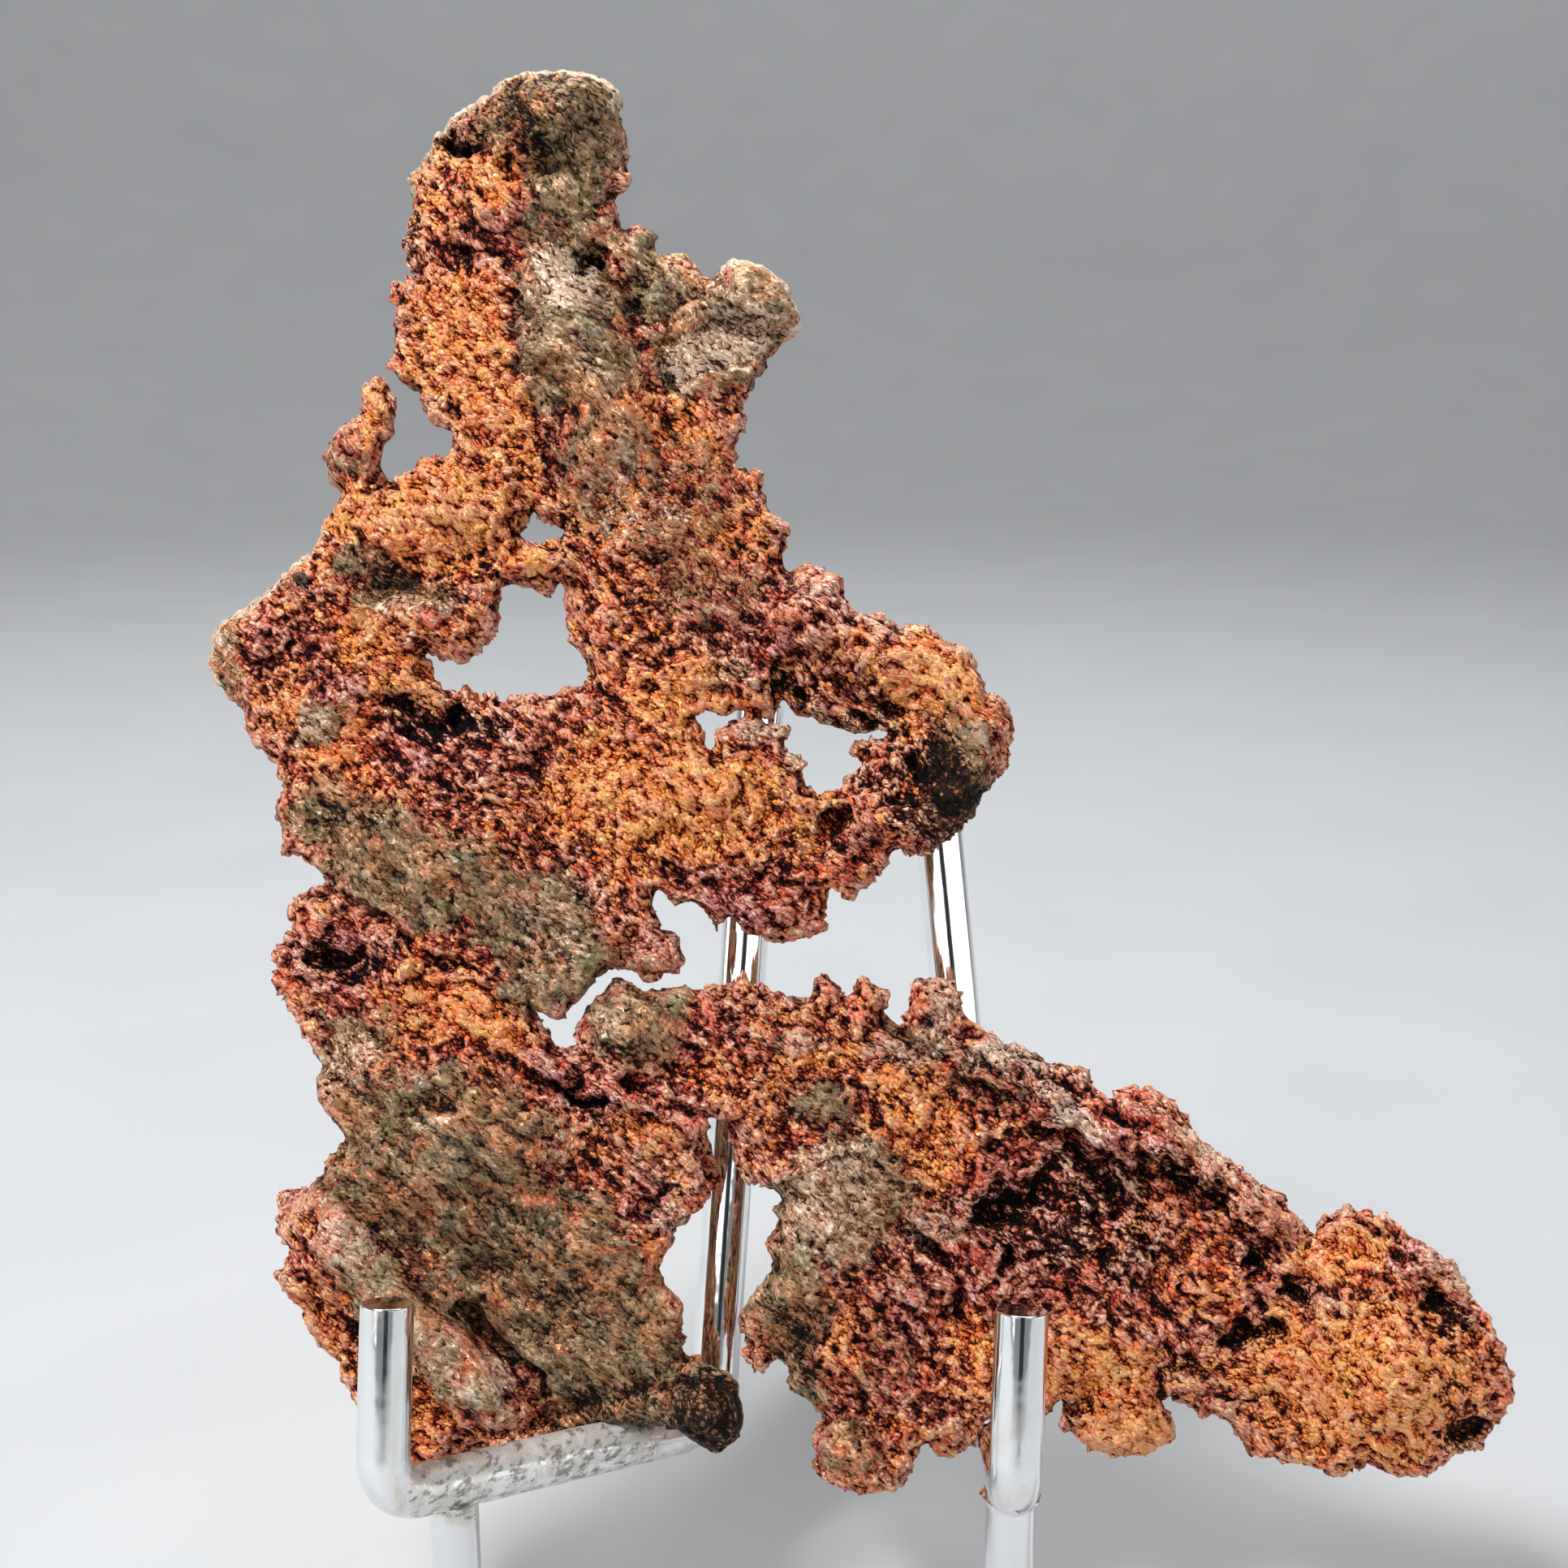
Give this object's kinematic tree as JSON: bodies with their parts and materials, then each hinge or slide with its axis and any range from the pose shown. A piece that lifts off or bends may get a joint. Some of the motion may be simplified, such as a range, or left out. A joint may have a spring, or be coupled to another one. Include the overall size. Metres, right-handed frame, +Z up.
{
  "type": "native copper nugget on a display easel",
  "caption": "Thin ragged sheet of native copper with windows, lumps and a rounded end, resting in a chromed bent-rod display easel.",
  "frame": {"origin": "middle of the footprint of the whole object, on the ground the easel stands on", "axes": "+Z up, the nugget's front face and the hooks look towards -Y, +X to the viewer's right"},
  "size_m": [0.1594, 0.0942, 0.1891],
  "materials": {
    "native_copper": "crumbly bare copper with olive-brown patina and dark red oxide",
    "chromed_rod": "polished chrome"
  },
  "bodies": {
    "root": {"copper_nugget": "native_copper", "rod_easel": "chromed_rod"}
  },
  "joints": []
}
